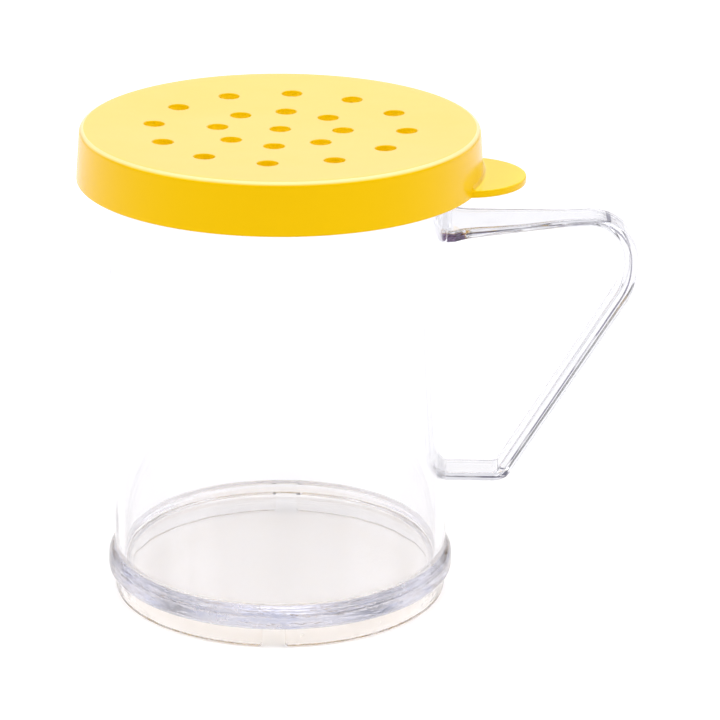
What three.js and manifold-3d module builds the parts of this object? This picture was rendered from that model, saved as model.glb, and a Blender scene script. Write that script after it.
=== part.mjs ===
// A clear plastic shaker cup with a strap handle and a yellow perforated lid that snaps over its rim.
// Lengths are in millimetres and angles in degrees. +Z is up, the cup stands on Z = 0 and its handle
// points along +X. The origin is the middle of the whole object's footprint, so the cup's axis lies
// a little to the -X side of it.

import * as THREE from "three";
import { mergeVertices } from "three/addons/utils/BufferGeometryUtils.js";
import Module from "manifold-3d";

// Whole object
const overallHeight = 101.5;
const lidTurn = -3.2; // the lid sits at any angle on the rim, and this is how its tab was left
const lidSeatGap = 0.3;
const lidRimClearance = 0.34;
const handleSeamGap = 0.3;
const cutOverrun = 2;

// Cup wall and floor
const wallRadius = 35.25; // outside, just above the bead: the lid, foot and handle follow from it
const wallDraft = 0.5; // how much wider the wall is at the rim
const wallThickness = 1.95;
const floorThickness = 3.3;
const floorCornerRadius = 2;

// Foot skirt under the floor, with a drain notch at the front and at the rear
const footHeight = 4.3;
const footInset = 0.05; // from the wall above the bead
const footThickness = 2;
const footEdgeRadius = 0.5;
const notchWidth = 4.7;
const notchCornerRadius = 1;

// Bead round the bottom of the wall
const beadHeight = 5.6;
const beadProud = 1.4;
const beadSlope = 52; // its shoulder falls away at this angle, then a fillet runs up into the wall
const beadFilletRadius = 1;
const beadLowerRadius = 1.1;

// Rim flange, hidden in the lid
const rimFlangeWidth = 4.01;
const rimThickness = 2.4;
const rimEdgeRadius = 0.7;
const rimFilletRadius = 1.5;

// Lid
const lidSkirtHeight = 10.8;
const lidSkirtFlare = 0.7; // how much wider the skirt is at its lower edge
const lidSkirtThickness = 1.3;
const lidPlateThickness = 1.6;
const lidDish = 0.9;
const lidEdgeRadius = 1.1;
const lidSeatWidth = 2;
const snapBeadHeight = 1.4;
const snapBeadDrop = 0.5; // clear height between the rim flange and the snap bead
const snapBeadProud = 0.3;

// Thumb tab
const tabProud = 8.75; // beyond the skirt's lower edge
const tabEndRadius = 12.45;
const tabThickness = 1.5;

// Shaker holes: a middle one and two rings, whose radii are shares of the lid's
const holeDiameter = 4.2;
const innerRingShare = 0.3127;
const innerRingCount = 8;
const outerRingShare = 0.6314;
const outerRingCount = 12;

// Handle strap: its middle line lies in the plane Y = 0
const handleProud = 39.1; // outermost point, from the wall
const upperArmShare = 0.1896; // how far down the clear wall the upper arm's root is
const lowerArmShare = 0.1839; // how far up the clear wall the lower arm is
const armRise = 3.75; // the upper arm climbs at this angle
const kneeDrop = 14; // from the upper arm's line down to the grip's, along the upright outer side
const footArmLength = 11.35; // from the wall to where the grip's middle line meets the lower arm's
const outerBendRadius = 8.5;
const kneeLength = 3.92; // how far the knee's curve takes up the lines on either side
const lowerBendRadius = 3;
const strapEdgeRadius = 0.4;

// Handle strap: half widths and thicknesses along it
const rootHalfWidth = 9.5;
const gripHalfWidth = 3.75;
const footHalfWidth = 3.95;
const flareLength = 26;
const rootThickness = 2.4;
const armThickness = 1.7;
const gripThickness = 3.1;
const footThicknessOfStrap = 1.95;

// How far the flare has come in from the root half width, along its length
const flareShares = [1, 0.7, 0.58, 0.52, 0.46, 0.39, 0.31, 0.21, 0.11, 0.03, 0];
const rootThinningShare = 0.5; // of the upper arm
const gripTaperShare = 0.1; // how much thinner the grip is at its lower end
const edgeRadiusShare = 0.45; // of the strap's thickness, the most that its edge radius takes

// Facets
const roundSegments = 72;
const holeSegments = 16;
const tabSegments = 24;
const edgeSteps = 2;
const beadSteps = 4;
const dishSteps = 5;
const armSteps = 20;
const bendSteps = 14;
const gripSteps = 6;
const footSteps = 3;
const strapCornerSteps = 3;

// Worked-out sizes
const beadTopZ = footHeight + beadHeight;
const floorTopZ = footHeight + floorThickness;
const seatZ = overallHeight - lidPlateThickness;
const rimTopZ = seatZ - lidSeatGap;
const rimUnderZ = rimTopZ - rimThickness;
const skirtBottomZ = overallHeight - lidSkirtHeight;
const footRadius = wallRadius - footInset;
const rimRadius = wallRadius + wallDraft + rimFlangeWidth;
const seatFlare = (lidSkirtFlare * lidPlateThickness) / lidSkirtHeight;
const lidTopRadius = rimRadius + lidRimClearance + lidSkirtThickness - seatFlare;
const lidSkirtRadius = lidTopRadius + lidSkirtFlare;
const clearWallHeight = rimUnderZ - beadTopZ;
const armRootZ = rimUnderZ - clearWallHeight * upperArmShare;
const footArmZ = beadTopZ + clearWallHeight * lowerArmShare;
const handleReach = wallRadius + handleProud;
const axisX = (lidSkirtRadius - handleReach) / 2;

const wasm = await Module();
wasm.setup();

const radians = THREE.MathUtils.degToRad;

function roundPoints(centreX, centreY, radius, fromAngle, toAngle, steps) {
  const clockwise = toAngle < fromAngle;
  const curve = new THREE.EllipseCurve(
    centreX, centreY, radius, radius, radians(fromAngle), radians(toAngle), clockwise);
  return curve.getPoints(steps);
}

// Welds a geometry's corners together and leaves out the triangles that close up at an axis
function welded(geometry) {
  const bare = geometry.clone();
  bare.deleteAttribute("normal");
  bare.deleteAttribute("uv");
  const merged = mergeVertices(bare);
  const index = merged.index.array;
  const kept = [];
  for (let i = 0; i < index.length; i += 3) {
    const [a, b, c] = [index[i], index[i + 1], index[i + 2]];
    if (a !== b && b !== c && c !== a) kept.push(a, b, c);
  }
  merged.setIndex(kept);
  return merged;
}

function solidOf(geometry) {
  const merged = welded(geometry);
  const mesh = new wasm.Mesh({
    numProp: 3,
    vertProperties: new Float32Array(merged.attributes.position.array),
    triVerts: new Uint32Array(merged.index.array),
  });
  return new wasm.Manifold(mesh);
}

function geometryOf(solid) {
  const mesh = solid.getMesh();
  const geometry = new THREE.BufferGeometry();
  geometry.setAttribute("position", new THREE.BufferAttribute(new Float32Array(mesh.vertProperties), 3));
  geometry.setIndex(Array.from(mesh.triVerts));
  geometry.computeVertexNormals();
  return geometry;
}

// Turns a profile of radius and height round the Z axis; its points run anticlockwise
function revolved(profile) {
  const points = THREE.ShapeUtils.isClockWise(profile) ? [...profile].reverse() : profile;
  return new THREE.LatheGeometry(points, roundSegments).rotateX(Math.PI / 2);
}

function wallRadiusAt(z) {
  const share = THREE.MathUtils.clamp((z - beadTopZ) / (rimUnderZ - beadTopZ), 0, 1);
  return wallRadius + wallDraft * share;
}

function skirtRadiusAt(z) {
  return lidTopRadius + (lidSkirtFlare * (overallHeight - z)) / lidSkirtHeight;
}

// Profile of the cup from the middle of its underside, round the outside and back down the inside
function cupProfile() {
  const footInner = footRadius - footThickness;
  const beadCentre = wallRadius + beadProud - beadLowerRadius;
  const slope = radians(beadSlope);
  const shoulder = beadProud / (1 - Math.cos(slope)) - beadFilletRadius;
  const shoulderX = wallRadius + beadProud - shoulder;
  const shoulderZ = beadTopZ - (shoulder + beadFilletRadius) * Math.sin(slope);
  const filletEnd = [180 + beadSlope, 180, beadSteps];
  const rimWall = wallRadiusAt(rimUnderZ);
  const innerTop = rimWall - wallThickness;
  const filletX = rimWall + rimFilletRadius;
  const cornerX = wallRadius - wallThickness - floorCornerRadius;
  return [
    new THREE.Vector2(0, footHeight),
    new THREE.Vector2(footInner, footHeight),
    ...roundPoints(footInner + footEdgeRadius, footEdgeRadius, footEdgeRadius, 180, 270, edgeSteps),
    ...roundPoints(footRadius - footEdgeRadius, footEdgeRadius, footEdgeRadius, 270, 360, edgeSteps),
    new THREE.Vector2(footRadius, footHeight),
    ...roundPoints(beadCentre, footHeight + beadLowerRadius, beadLowerRadius, 270, 360, beadSteps),
    ...roundPoints(shoulderX, shoulderZ, shoulder, 0, beadSlope, beadSteps),
    ...roundPoints(wallRadius + beadFilletRadius, beadTopZ, beadFilletRadius, ...filletEnd).slice(1),
    ...roundPoints(filletX, rimUnderZ - rimFilletRadius, rimFilletRadius, 180, 90, edgeSteps),
    ...roundPoints(rimRadius - rimEdgeRadius, rimUnderZ + rimEdgeRadius, rimEdgeRadius, 270, 360, edgeSteps),
    ...roundPoints(rimRadius - rimEdgeRadius, rimTopZ - rimEdgeRadius, rimEdgeRadius, 0, 90, edgeSteps),
    ...roundPoints(innerTop + rimEdgeRadius, rimTopZ - rimEdgeRadius, rimEdgeRadius, 90, 180, edgeSteps),
    ...roundPoints(cornerX, floorTopZ + floorCornerRadius, floorCornerRadius, 360, 270, beadSteps),
    new THREE.Vector2(0, floorTopZ),
  ];
}

// The notch's outline across the foot: straight sides, with its lower corners rounded away
function notchOutline() {
  const half = notchWidth / 2;
  const mouth = half + notchCornerRadius;
  return new THREE.Shape([
    new THREE.Vector2(-half, footHeight),
    ...roundPoints(-mouth, notchCornerRadius, notchCornerRadius, 0, -90, edgeSteps),
    new THREE.Vector2(-mouth, -cutOverrun),
    new THREE.Vector2(mouth, -cutOverrun),
    ...roundPoints(mouth, notchCornerRadius, notchCornerRadius, 270, 180, edgeSteps),
    new THREE.Vector2(half, footHeight),
  ]);
}

function makeCup() {
  const length = 2 * (footRadius + cutOverrun);
  const notch = new THREE.ExtrudeGeometry(notchOutline(), { depth: length, bevelEnabled: false })
    .rotateX(Math.PI / 2)
    .translate(0, length / 2, 0);
  return geometryOf(solidOf(revolved(cupProfile())).subtract(solidOf(notch)));
}

// Profile of the lid from the middle of its dished top, down the skirt and back under the top
function lidProfile() {
  const flatRadius = lidTopRadius - lidEdgeRadius;
  const dishedAt = (radius) => lidDish * (1 - (radius / flatRadius) ** 2);
  const cupMouth = wallRadiusAt(rimUnderZ) - wallThickness;
  const seatInner = cupMouth - lidSeatWidth;
  const innerAt = (z) => skirtRadiusAt(z) - lidSkirtThickness;
  const snapTopZ = rimUnderZ - snapBeadDrop;
  const snapMiddleZ = snapTopZ - snapBeadHeight / 2;
  const snapBottomZ = snapTopZ - snapBeadHeight;
  const top = [];
  const under = [];
  for (let i = 0; i <= dishSteps; i++) {
    const outer = (flatRadius * i) / dishSteps;
    const inner = seatInner * (1 - i / dishSteps);
    top.push(new THREE.Vector2(outer, overallHeight - dishedAt(outer)));
    under.push(new THREE.Vector2(inner, seatZ - dishedAt(inner)));
  }
  return [
    ...top,
    ...roundPoints(flatRadius, overallHeight - lidEdgeRadius, lidEdgeRadius, 90, 0, edgeSteps).slice(1),
    new THREE.Vector2(lidSkirtRadius, skirtBottomZ),
    new THREE.Vector2(innerAt(skirtBottomZ), skirtBottomZ),
    new THREE.Vector2(innerAt(snapBottomZ), snapBottomZ),
    new THREE.Vector2(innerAt(snapMiddleZ) - snapBeadProud, snapMiddleZ),
    new THREE.Vector2(innerAt(snapTopZ), snapTopZ),
    new THREE.Vector2(innerAt(seatZ), seatZ),
    new THREE.Vector2(seatInner, seatZ),
    ...under,
  ];
}

// The tab is the part of a disc that stands out of the skirt, rooted in the middle of the skirt's thickness
function tabOutline() {
  const centre = lidSkirtRadius + tabProud - tabEndRadius;
  const root = lidSkirtRadius - lidSkirtThickness / 2;
  const cornerX = (centre ** 2 + root ** 2 - tabEndRadius ** 2) / (2 * centre);
  const cornerY = Math.sqrt(root ** 2 - cornerX ** 2);
  const endAngle = Math.atan2(cornerY, cornerX - centre);
  const rootAngle = Math.atan2(cornerY, cornerX);
  const outline = new THREE.Shape();
  outline.absarc(centre, 0, tabEndRadius, -endAngle, endAngle, false);
  outline.absarc(0, 0, root, rootAngle, -rootAngle, true);
  return outline;
}

function holeAt(radius, angle) {
  const height = 2 * (lidPlateThickness + lidDish);
  return new THREE.CylinderGeometry(holeDiameter / 2, holeDiameter / 2, height, holeSegments)
    .rotateX(Math.PI / 2)
    .translate(radius * Math.cos(angle), radius * Math.sin(angle), overallHeight - lidPlateThickness);
}

function ringOfHoles(radius, count) {
  const holes = [];
  for (let i = 0; i < count; i++) holes.push(holeAt(radius, (2 * Math.PI * i) / count));
  return holes;
}

function makeLid() {
  const plain = { depth: tabThickness, bevelEnabled: false, curveSegments: tabSegments };
  const tab = new THREE.ExtrudeGeometry(tabOutline(), plain).translate(0, 0, skirtBottomZ);
  let lid = solidOf(revolved(lidProfile())).add(solidOf(tab));
  const holes = [
    holeAt(0, 0),
    ...ringOfHoles(lidTopRadius * innerRingShare, innerRingCount),
    ...ringOfHoles(lidTopRadius * outerRingShare, outerRingCount),
  ];
  for (const hole of holes) lid = lid.subtract(solidOf(hole));
  return geometryOf(lid);
}

// Rounds the corner between two straight lines and gives the arc's points
function filletPoints(before, corner, after, radius, steps) {
  const back = before.clone().sub(corner).normalize();
  const ahead = after.clone().sub(corner).normalize();
  const half = Math.acos(back.dot(ahead)) / 2;
  const middle = back.clone().add(ahead).normalize();
  const centre = corner.clone().addScaledVector(middle, radius / Math.sin(half));
  const start = corner.clone().addScaledVector(back, radius / Math.tan(half));
  const end = corner.clone().addScaledVector(ahead, radius / Math.tan(half));
  const from = start.clone().sub(centre).angle();
  let sweep = end.clone().sub(centre).angle() - from;
  if (sweep > Math.PI) sweep -= 2 * Math.PI;
  if (sweep < -Math.PI) sweep += 2 * Math.PI;
  const points = [];
  for (let i = 0; i <= steps; i++) {
    const angle = from + (sweep * i) / steps;
    points.push(new THREE.Vector2(centre.x + radius * Math.cos(angle), centre.y + radius * Math.sin(angle)));
  }
  return points;
}

function linePoints(from, to, steps) {
  const points = [];
  for (let i = 1; i < steps; i++) points.push(from.clone().lerp(to, i / steps));
  return points;
}

// The strap's middle line in X and Z: upper arm, outer bend, knee, grip, lower bend and lower arm
function strapStations() {
  const inWall = wallRadius - wallThickness;
  const climb = Math.tan(radians(armRise));
  const outerX = handleReach - gripThickness / 2;
  const armZAt = (x) => armRootZ + (x - wallRadius) * climb;
  const root = new THREE.Vector2(inWall, armZAt(inWall));
  const bend = new THREE.Vector2(outerX, armZAt(outerX));
  const knee = new THREE.Vector2(outerX, bend.y - kneeDrop);
  const lower = new THREE.Vector2(wallRadius + footArmLength, footArmZ);
  const foot = new THREE.Vector2(inWall, footArmZ);
  const lean = Math.atan2(knee.x - lower.x, knee.y - lower.y);
  const kneeRadius = kneeLength / Math.tan(lean / 2);
  const bendArc = filletPoints(root, bend, knee, outerBendRadius, bendSteps);
  const kneeArc = filletPoints(bend, knee, lower, kneeRadius, bendSteps / 2);
  const lowerArc = filletPoints(knee, lower, foot, lowerBendRadius, bendSteps / 2);
  const parts = [
    ["arm", [root, ...linePoints(root, bendArc[0], armSteps)]],
    ["bend", bendArc],
    ["knee", kneeArc],
    ["grip", linePoints(kneeArc.at(-1), lowerArc[0], gripSteps)],
    ["lower", lowerArc],
    ["foot", [...linePoints(lowerArc.at(-1), foot, footSteps), foot]],
  ];
  const stations = [];
  for (const [part, points] of parts) {
    points.forEach((point, i) => {
      stations.push({ part, point, share: points.length > 1 ? i / (points.length - 1) : 0 });
    });
  }
  return stations;
}

function flareAt(distance) {
  const place = THREE.MathUtils.clamp(distance / flareLength, 0, 1) * (flareShares.length - 1);
  const step = Math.min(Math.floor(place), flareShares.length - 2);
  return THREE.MathUtils.lerp(flareShares[step], flareShares[step + 1], place - step);
}

function strapHalfWidth({ part, point, share }) {
  if (part === "arm") {
    return gripHalfWidth + (rootHalfWidth - gripHalfWidth) * flareAt(point.x - wallRadius);
  }
  if (part === "lower") return THREE.MathUtils.lerp(gripHalfWidth, footHalfWidth, share);
  return part === "foot" ? footHalfWidth : gripHalfWidth;
}

function strapThickness({ part, share }) {
  const gripEnd = gripThickness * (1 - gripTaperShare);
  if (part === "arm") {
    const thinned = THREE.MathUtils.smoothstep(share, 0, rootThinningShare);
    return THREE.MathUtils.lerp(rootThickness, armThickness, thinned);
  }
  if (part === "bend") {
    return THREE.MathUtils.lerp(armThickness, gripThickness, THREE.MathUtils.smoothstep(share, 0, 1));
  }
  if (part === "knee") return gripThickness;
  if (part === "grip") return THREE.MathUtils.lerp(gripThickness, gripEnd, share);
  return part === "lower" ? THREE.MathUtils.lerp(gripEnd, footThicknessOfStrap, share) : footThicknessOfStrap;
}

// Rounded rectangle across the strap: x runs across its width and y through its thickness
function strapSection(halfWidth, thickness) {
  const radius = Math.min(strapEdgeRadius, thickness * edgeRadiusShare);
  const x = halfWidth - radius;
  const y = thickness / 2 - radius;
  return [
    ...roundPoints(x, y, radius, 0, 90, strapCornerSteps),
    ...roundPoints(-x, y, radius, 90, 180, strapCornerSteps),
    ...roundPoints(-x, -y, radius, 180, 270, strapCornerSteps),
    ...roundPoints(x, -y, radius, 270, 360, strapCornerSteps),
  ];
}

// Sweeps the section along the stations as one closed body with flat ends
function strapGeometry() {
  const stations = strapStations();
  const positions = [];
  const index = [];
  let count = 0;
  stations.forEach((station, i) => {
    const before = stations[Math.max(i - 1, 0)].point;
    const after = stations[Math.min(i + 1, stations.length - 1)].point;
    const along = after.clone().sub(before).normalize();
    const section = strapSection(strapHalfWidth(station), strapThickness(station));
    count = section.length;
    for (const { x, y } of section) {
      positions.push(station.point.x - along.y * y, x, station.point.y + along.x * y);
    }
  });
  for (let i = 0; i + 1 < stations.length; i++) {
    for (let j = 0; j < count; j++) {
      const [a, b] = [i * count + j, i * count + ((j + 1) % count)];
      index.push(a, b, a + count, b, b + count, a + count);
    }
  }
  const last = (stations.length - 1) * count;
  for (let j = 1; j + 1 < count; j++) {
    index.push(0, j + 1, j);
    index.push(last, last + j, last + j + 1);
  }
  const geometry = new THREE.BufferGeometry();
  geometry.setAttribute("position", new THREE.Float32BufferAttribute(positions, 3));
  geometry.setIndex(index);
  return geometry;
}

// The handle stops short of the wall by the seam gap, so its ends follow the wall's curve
function makeHandle() {
  const keepOut = revolved([
    new THREE.Vector2(0, 0),
    new THREE.Vector2(wallRadiusAt(0) + handleSeamGap, 0),
    new THREE.Vector2(wallRadiusAt(beadTopZ) + handleSeamGap, beadTopZ),
    new THREE.Vector2(wallRadiusAt(rimUnderZ) + handleSeamGap, rimUnderZ),
    new THREE.Vector2(0, rimUnderZ),
  ]);
  return geometryOf(solidOf(strapGeometry()).subtract(solidOf(keepOut)));
}

function named(name, geometry, material) {
  const mesh = new THREE.Mesh(geometry, material);
  mesh.name = name;
  return mesh;
}

const clearPlastic = new THREE.MeshStandardMaterial({
  color: 0xf3f5f8, roughness: 0.06, metalness: 0, transparent: true, opacity: 0.35,
});
const yellowPlastic = new THREE.MeshStandardMaterial({ color: 0xf9c815, roughness: 0.38, metalness: 0 });

const lid = named("shaker_lid", makeLid(), yellowPlastic);
lid.rotation.z = radians(lidTurn);

const shaker = new THREE.Group();
shaker.add(named("cup_body", makeCup(), clearPlastic));
shaker.add(named("handle", makeHandle(), clearPlastic));
shaker.add(lid);
shaker.position.x = axisX;

export default shaker;
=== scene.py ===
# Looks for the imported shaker: a clear moulded cup with a strap handle, and a yellow perforated lid.
# Sizes are in millimetres and are the CAD source's own. A mesh is made in metres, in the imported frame.

import math

import bmesh
import bpy
from mathutils import Matrix, Vector
from mathutils.geometry import delaunay_2d_cdt


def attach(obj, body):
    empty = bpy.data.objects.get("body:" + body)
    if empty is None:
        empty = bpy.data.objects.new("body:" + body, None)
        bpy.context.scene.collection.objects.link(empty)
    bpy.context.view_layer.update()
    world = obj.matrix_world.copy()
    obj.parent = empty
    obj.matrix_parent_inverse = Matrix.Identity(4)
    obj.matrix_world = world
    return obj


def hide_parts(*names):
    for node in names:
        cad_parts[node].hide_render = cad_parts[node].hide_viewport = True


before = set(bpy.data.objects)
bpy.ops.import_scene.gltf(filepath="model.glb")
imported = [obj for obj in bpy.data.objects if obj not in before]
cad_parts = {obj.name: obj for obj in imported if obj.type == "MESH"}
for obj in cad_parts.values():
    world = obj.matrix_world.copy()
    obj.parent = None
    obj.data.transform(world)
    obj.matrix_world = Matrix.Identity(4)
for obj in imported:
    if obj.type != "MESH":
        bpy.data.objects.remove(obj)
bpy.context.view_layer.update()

MM = 0.001

# Whole object
OVERALL_HEIGHT = 101.5
LID_TURN = math.radians(-3.2)
LID_RIM_CLEARANCE = 0.34
LID_SEAT_GAP = 0.3

# Cup
WALL_RADIUS = 35.25
WALL_DRAFT = 0.5
WALL_THICKNESS = 1.95
FLOOR_THICKNESS = 3.3
FLOOR_CORNER_RADIUS = 2.0
FOOT_HEIGHT = 4.3
FOOT_RADIUS = WALL_RADIUS - 0.05
FOOT_THICKNESS = 2.0
FOOT_EDGE_RADIUS = 0.5
FOOT_ROOT_RADIUS = 0.35
NOTCH_WIDTH = 4.7
NOTCH_CORNER_RADIUS = 1.0
BEAD_HEIGHT = 5.6
BEAD_PROUD = 1.4
BEAD_SLOPE = math.radians(52)
BEAD_FILLET_RADIUS = 1.0
BEAD_LOWER_RADIUS = 1.1
RIM_FLANGE_WIDTH = 4.01
RIM_THICKNESS = 2.4
RIM_EDGE_RADIUS = 0.7
RIM_FILLET_RADIUS = 1.5

# Lid
LID_SKIRT_HEIGHT = 10.8
LID_SKIRT_FLARE = 0.7
LID_SKIRT_THICKNESS = 1.3
LID_PLATE_THICKNESS = 1.6
LID_DISH = 0.9
LID_EDGE_RADIUS = 1.1
LID_SEAT_WIDTH = 2.0
SNAP_BEAD_HEIGHT = 1.4
SNAP_BEAD_DROP = 0.5
SNAP_BEAD_PROUD = 0.3
SKIRT_LIP_RADIUS = 0.25
TAB_PROUD = 8.75
TAB_END_RADIUS = 12.45
TAB_THICKNESS = 1.5
TAB_EDGE_RADIUS = 0.3
TAB_ROOT_RADIUS = 0.9
HOLE_RADIUS = 2.1
HOLE_EDGE_RADIUS = 0.18
INNER_RING_SHARE = 0.3127
INNER_RING_COUNT = 8
OUTER_RING_SHARE = 0.6314
OUTER_RING_COUNT = 12

# Handle strap
HANDLE_PROUD = 39.1
UPPER_ARM_SHARE = 0.1896
LOWER_ARM_SHARE = 0.1839
ARM_RISE = math.radians(3.75)
KNEE_DROP = 14.0
FOOT_ARM_LENGTH = 11.35
OUTER_BEND_RADIUS = 8.5
KNEE_LENGTH = 3.92
LOWER_BEND_RADIUS = 3.0
STRAP_EDGE_RADIUS = 0.4
ROOT_HALF_WIDTH = 9.5
GRIP_HALF_WIDTH = 3.75
FOOT_HALF_WIDTH = 3.95
FLARE_LENGTH = 26.0
ROOT_THICKNESS = 2.4
ARM_THICKNESS = 1.7
GRIP_THICKNESS = 3.1
FOOT_STRAP_THICKNESS = 1.95
FLARE_SHARES = [1, 0.7, 0.58, 0.52, 0.46, 0.39, 0.31, 0.21, 0.11, 0.03, 0]
ROOT_THINNING_SHARE = 0.5
GRIP_TAPER_SHARE = 0.1
EDGE_RADIUS_SHARE = 0.45
PARTING_HALF_WIDTH = 0.22
PARTING_PROUD = 0.12
STRAP_START = 0.9
SEAM_GAP = 0.02

# Worked out, as in the CAD source
BEAD_TOP_Z = FOOT_HEIGHT + BEAD_HEIGHT
FLOOR_TOP_Z = FOOT_HEIGHT + FLOOR_THICKNESS
SEAT_Z = OVERALL_HEIGHT - LID_PLATE_THICKNESS
RIM_TOP_Z = SEAT_Z - LID_SEAT_GAP
RIM_UNDER_Z = RIM_TOP_Z - RIM_THICKNESS
SKIRT_BOTTOM_Z = OVERALL_HEIGHT - LID_SKIRT_HEIGHT
RIM_RADIUS = WALL_RADIUS + WALL_DRAFT + RIM_FLANGE_WIDTH
SEAT_FLARE = LID_SKIRT_FLARE * LID_PLATE_THICKNESS / LID_SKIRT_HEIGHT
LID_TOP_RADIUS = RIM_RADIUS + LID_RIM_CLEARANCE + LID_SKIRT_THICKNESS - SEAT_FLARE
LID_SKIRT_RADIUS = LID_TOP_RADIUS + LID_SKIRT_FLARE
LID_FLAT_RADIUS = LID_TOP_RADIUS - LID_EDGE_RADIUS
CUP_MOUTH_RADIUS = WALL_RADIUS + WALL_DRAFT - WALL_THICKNESS
LID_SEAT_INNER = CUP_MOUTH_RADIUS - LID_SEAT_WIDTH
CLEAR_WALL_HEIGHT = RIM_UNDER_Z - BEAD_TOP_Z
ARM_ROOT_Z = RIM_UNDER_Z - CLEAR_WALL_HEIGHT * UPPER_ARM_SHARE
FOOT_ARM_Z = BEAD_TOP_Z + CLEAR_WALL_HEIGHT * LOWER_ARM_SHARE
HANDLE_REACH = WALL_RADIUS + HANDLE_PROUD
AXIS_X = (LID_SKIRT_RADIUS - HANDLE_REACH) / 2

# Clear plastic. Where there are two colours, the surface drifts between them.
CLEAR_IOR = 1.585
DEPTH_COLOUR = (0.55, 0.55, 0.69, 1)
CUP_DENSITY = 8.0
HANDLE_DENSITY = 3.0
HAZE_ROUGHNESS = 0.035
WALL_TINTS = ((0.945, 0.948, 0.956), (0.951, 0.954, 0.962))
# The floor and foot tints are painted shade: the tan of the shaded table under the cup as seen through them.
# The foot's tint also paints the bead darker.
FLOOR_SHADE_TINTS = ((0.920, 0.911, 0.899), (0.928, 0.919, 0.907))
FOOT_SHADE_TINT = (0.960, 0.947, 0.932)
# Painted reflection: the blue of the refraction streaks on the bead.
REFRACTION_STREAK_TINT = (0.70, 0.74, 0.90)
RUB_ROUGHNESS = 0.3
STRAP_TINT = (0.85, 0.85, 0.857)
# Painted reflection: the dark line along the strap's parting line, standing in for dark surroundings
# reflected inside the strap.
PARTING_DARK_REFLECTION = (0.05, 0.045, 0.08)
# Painted reflection: a dark purple-brown patch at the handle's root, standing in for dark surroundings
# refracted there.
ROOT_REFRACTION_RIM = (0.55, 0.30, 0.12)
ROOT_REFRACTION_CORE = (0.03, 0.012, 0.045)

# Where the cup's looks change: each starts at the first length and is complete at the second
LOW_Z = (9.5, 8.5)
SLAB_REACH = (33.8, 33.5)
SLAB_Z = (FOOT_HEIGHT - 0.2, FOOT_HEIGHT - 0.1)
OUTSIDE_REACH = (34.5, 34.8)
OUTSIDE_Z = (10.5, 9.5)
OUTSIDE_Y = (12, -4)
REFRACTION_STREAK_Z = (FOOT_HEIGHT, FOOT_HEIGHT + 0.5)

# The same for the handle. Its painted dark refraction patch is at the near lower corner of the upper root.
PARTING_CORE_SHARE = 0.8
CREST_SOFTNESS = 0.02
BEND_X = (HANDLE_REACH - 14, HANDLE_REACH - 13)
UNDER_ARM_Z = (ARM_ROOT_Z - 4, ARM_ROOT_Z - 5)
ABOVE_FOOT_Z = (FOOT_ARM_Z + 3, FOOT_ARM_Z + 4)
ROOT_REFRACTION_X = (38.9, 37.4)
ROOT_REFRACTION_Y = (-6.2, -7.6)
ROOT_REFRACTION_Z = (ARM_ROOT_Z + 0.9, ARM_ROOT_Z + 0.2)

# Yellow plastic, and where the lid's looks change
PLAIN_YELLOWS = ((0.795, 0.476, 0.0004), (0.815, 0.492, 0.0006))
# Painted sheen: the flat top of the lid is paler, as its grazing reflection of the studio makes it.
TOP_SHEEN_YELLOWS = ((0.90, 0.635, 0.105), (0.92, 0.655, 0.135))
# Painted highlight: the rounded top edge of the lid is paler, standing in for the glossy highlight along it.
EDGE_HIGHLIGHT_YELLOWS = ((0.93, 0.77, 0.34), (0.95, 0.80, 0.39))
# Painted light: the tab's upward face is a lighter yellow, as light from above makes it.
TAB_TOP_LIGHT_YELLOWS = ((0.91, 0.71, 0.010), (0.93, 0.73, 0.016))
YELLOW_GLOSS_TINT = (1.0, 0.75, 0.08, 1)
YELLOW_IOR = 1.5
TOP_Z = (95.0, 95.5)
EDGE_REACH = (36, 38)
TAB_REACH = (41.5, 42)

# Paper
PAPER_TONES = ((0.68, 0.677, 0.674), (0.70, 0.697, 0.694))
PAPER_GLOW_COLOUR = (1.0, 0.99, 0.98, 1)
PAPER_GLOW = 0.32
PAPER_RADIUS_M = 4.0
PAPER_DROP_M = 0.0002

# Studio: each soft box has its azimuth, elevation, inner and outer angle in degrees, and its strength
SKY = 0.42
SKY_COLOUR = (0.95, 0.95, 1.0, 1)
SOFT_BOXES = [
    (0, 10, 16, 30, 0.56),
    (0, 50, 9, 20, 1.3),
    (180, 74, 9, 18, 2.6),
    (-60, 20, 16, 30, 0.75),
    (60, 20, 16, 30, 0.75),
    (-105, 35, 15, 28, 2.85),
    (105, 35, 15, 28, 2.85),
    (-150, 40, 15, 28, 1.1),
    (150, 40, 15, 28, 1.1),
]
DARK_BAND = (12, 24, 50, 85)  # from and to this elevation, and from and to this far round from behind
BAND_LIGHT = 0.04

# Camera, fitted to the lid and the foot in the photograph
CAMERA_ELEVATION = math.radians(19.82)
CAMERA_ROLL = math.radians(0.47)
CAMERA_TURN = math.radians(0.9)
CAMERA_TARGET = (16.77, 0, 50.32)
CAMERA_DISTANCE = 726.53
FOCAL_PIXELS = 3454.5
PHOTO_PIXELS = 720
SENSOR_WIDTH = 36.0

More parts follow.
